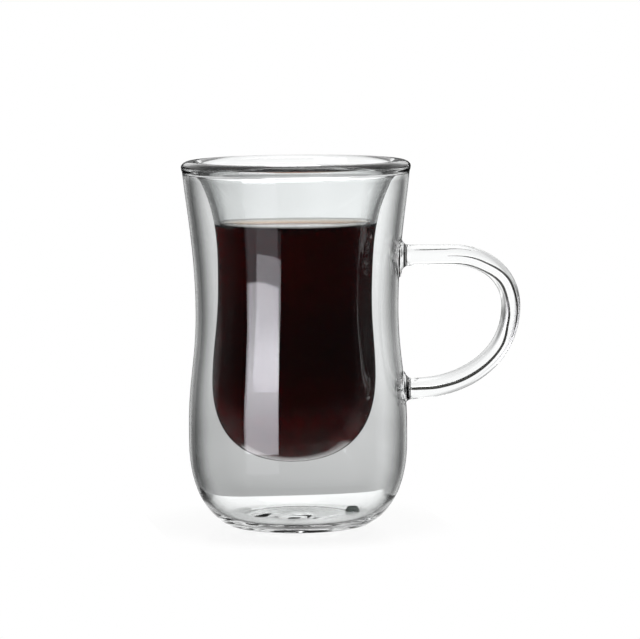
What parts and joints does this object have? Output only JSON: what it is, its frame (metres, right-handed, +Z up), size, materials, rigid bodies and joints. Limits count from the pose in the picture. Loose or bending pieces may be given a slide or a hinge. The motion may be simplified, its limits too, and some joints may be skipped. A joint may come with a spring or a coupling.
{
  "type": "double-walled glass mug",
  "caption": "Waisted double-walled clear glass mug with a rolled rim, a rounded liner cup, a bent glass rod handle and a plugged vent in its base; keeps a hot drink warm and the outside cool.",
  "frame": {"origin": "middle of the foot ring, on the mug's own axis, in the plane that it stands on", "axes": "+Z up along the mug's axis, +X towards the handle"},
  "size_m": [0.1122, 0.076, 0.121],
  "materials": {
    "outer_glass": "clear blown borosilicate glass, fire-polished",
    "cup_glass": "clear blown borosilicate glass, fire-polished",
    "handle_glass": "clear drawn borosilicate rod, bent hot",
    "plug_silicone": "translucent moulded silicone"
  },
  "bodies": {
    "root": {"outer_shell": "outer_glass", "inner_cup": "cup_glass", "handle": "handle_glass", "vent_plug": "plug_silicone"}
  },
  "joints": []
}
